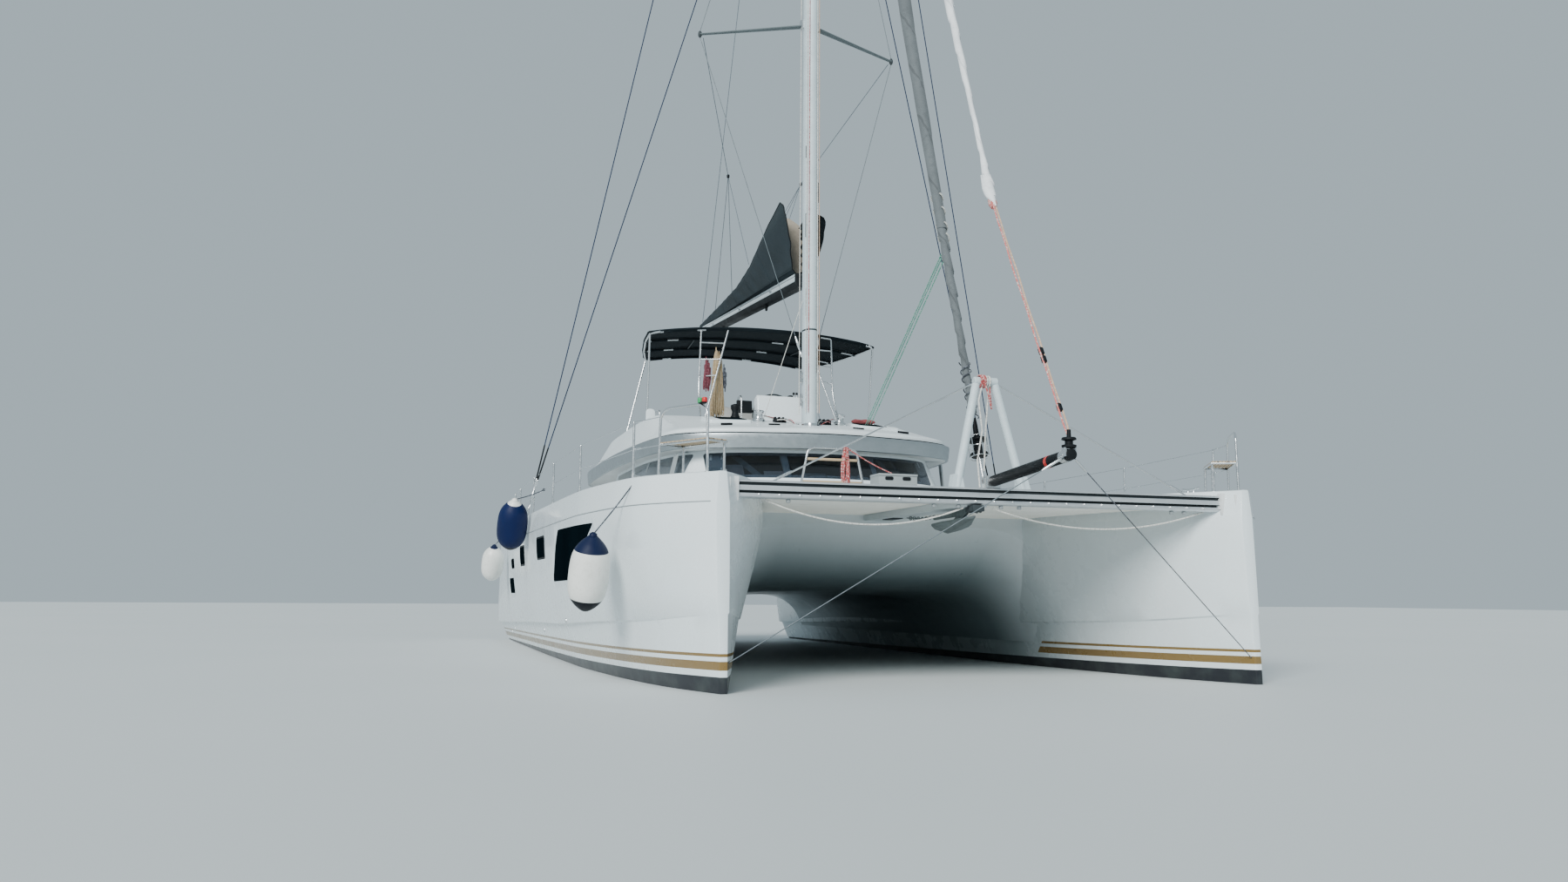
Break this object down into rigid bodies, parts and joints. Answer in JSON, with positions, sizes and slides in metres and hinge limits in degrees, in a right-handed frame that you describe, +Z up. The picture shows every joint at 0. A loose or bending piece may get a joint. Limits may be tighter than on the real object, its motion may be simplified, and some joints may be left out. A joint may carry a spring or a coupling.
{
  "type": "sailing catamaran",
  "caption": "Cruising sailing catamaran afloat with a flybridge, bimini, furled headsails and a bagged mainsail; boom, rudders, helm, propellers, hatches and saloon door move.",
  "frame": {"origin": "amidships on the centreline at the waterline", "axes": "+X towards the bows, +Y to port, +Z up along the mast"},
  "size_m": [15.0028, 7.9724, 22.05],
  "materials": {
    "gelcoat": "gloss white moulded shell",
    "dark_glass": "dark tinted",
    "clear_glass": "grey tinted",
    "keel_paint": "matt near-black bottom paint",
    "leg_alloy": "satin painted casting",
    "engine_block": "satin grey paint",
    "bronze": "machined bronze",
    "silver_band": "satin silver",
    "alloy": "satin anodised",
    "stainless": "polished stainless tube and wire",
    "black_tube": "satin black composite",
    "net": "woven net",
    "canvas": "charcoal woven cloth",
    "sail_grey": "grey sacrificial strip on furled cloth",
    "sail_white": "white furled cloth",
    "shroud": "dark blue sleeved wire",
    "anchor_steel": "dark galvanised",
    "joinery": "satin light timber",
    "upholstery": "pale cushion covers",
    "fender_white": "inflated vinyl",
    "fender_blue": "inflated vinyl"
  },
  "bodies": {
    "boat": {"hull_starboard": "gelcoat", "hull_port": "gelcoat", "side_deck_starboard": "gelcoat", "side_deck_port": "gelcoat", "cockpit_side_starboard": "gelcoat", "cockpit_side_port": "gelcoat", "bridgedeck": "gelcoat", "cockpit_bench": "gelcoat", "cabin_walls": "gelcoat", "aft_bulkhead": "gelcoat", "coachroof": "gelcoat", "flybridge": "gelcoat", "flybridge_stairs": "gelcoat", "helm_console": "gelcoat", "hull_window_starboard": "dark_glass", "hull_window_port": "dark_glass", "front_glazing": "dark_glass", "side_glazing_starboard": "clear_glass", "side_glazing_port": "clear_glass", "keel_starboard": "keel_paint", "keel_port": "keel_paint", "saildrive_starboard": "leg_alloy", "saildrive_port": "leg_alloy", "engine_starboard": "engine_block", "engine_port": "engine_block", "roof_fascia": "silver_band", "crossbeam": "alloy", "mast": "alloy", "roof_post_starboard": "alloy", "roof_post_port": "alloy", "bimini_frame": "stainless", "guardrail_starboard": "stainless", "guardrail_port": "stainless", "diamond_stay_starboard": "stainless", "diamond_stay_port": "stainless", "bowsprit": "black_tube", "trampoline_starboard": "net", "trampoline_port": "net", "bimini_canopy": "canvas", "furled_genoa": "sail_grey", "furled_gennaker": "sail_white", "shrouds_starboard": "shroud", "shrouds_port": "shroud", "anchor": "anchor_steel", "saloon_furniture": "joinery", "flybridge_seat": "upholstery", "fender_bow": "fender_white", "fender_aft": "fender_white", "fender_middle": "fender_blue"},
    "boom": {"boom": "alloy", "sail_bag": "canvas"},
    "saloon_door": {"saloon_door": "alloy", "saloon_door_glass": "clear_glass"},
    "helm_wheel": {"helm_wheel": "stainless"},
    "rudder_starboard": {"rudder_starboard": "keel_paint"},
    "rudder_port": {"rudder_port": "keel_paint"},
    "propeller_starboard": {"propeller_starboard": "bronze"},
    "propeller_port": {"propeller_port": "bronze"},
    "engine_hatch_starboard": {"engine_hatch_starboard": "gelcoat"},
    "engine_hatch_port": {"engine_hatch_port": "gelcoat"}
  },
  "joints": [
    {"name": "boom_swing", "type": "hinge", "parent": "boat", "child": "boom", "pos_m": [0.72, 0, 5.44], "axis": [0, 0, 1], "range_deg": [-55, 55]},
    {"name": "saloon_door_slide", "type": "slide", "parent": "boat", "child": "saloon_door", "axis": [0, -1, 0], "range_m": [0, 0.95]},
    {"name": "rudder_starboard_turn", "type": "hinge", "parent": "boat", "child": "rudder_starboard", "pos_m": [-6.25, -2.79, -0.33], "axis": [0, 0, 1], "range_deg": [-35, 35]},
    {"name": "rudder_port_turn", "type": "hinge", "parent": "boat", "child": "rudder_port", "pos_m": [-6.25, 2.79, -0.33], "axis": [0, 0, 1], "range_deg": [-35, 35]},
    {"name": "helm_wheel_turn", "type": "hinge", "parent": "boat", "child": "helm_wheel", "pos_m": [-1.3, 0.17, 3.7], "axis": [1, 0, 0], "range_deg": [-541, 541]},
    {"name": "propeller_starboard_spin", "type": "hinge", "parent": "boat", "child": "propeller_starboard", "pos_m": [-5.45, -2.79, -0.85], "axis": [1, 0, 0], "continuous": true},
    {"name": "propeller_port_spin", "type": "hinge", "parent": "boat", "child": "propeller_port", "pos_m": [-5.45, 2.79, -0.85], "axis": [1, 0, 0], "continuous": true},
    {"name": "engine_hatch_starboard_lift", "type": "hinge", "parent": "boat", "child": "engine_hatch_starboard", "pos_m": [-4.6, -2.79, 1.12], "axis": [0, 1, 0], "range_deg": [0, 80]},
    {"name": "engine_hatch_port_lift", "type": "hinge", "parent": "boat", "child": "engine_hatch_port", "pos_m": [-4.6, 2.79, 1.12], "axis": [0, 1, 0], "range_deg": [0, 80]}
  ],
  "couplings": [
    {"joint": "rudder_port_turn", "follows": "rudder_starboard_turn", "ratio": 1},
    {"joint": "helm_wheel_turn", "follows": "rudder_starboard_turn", "ratio": -15.43}
  ]
}
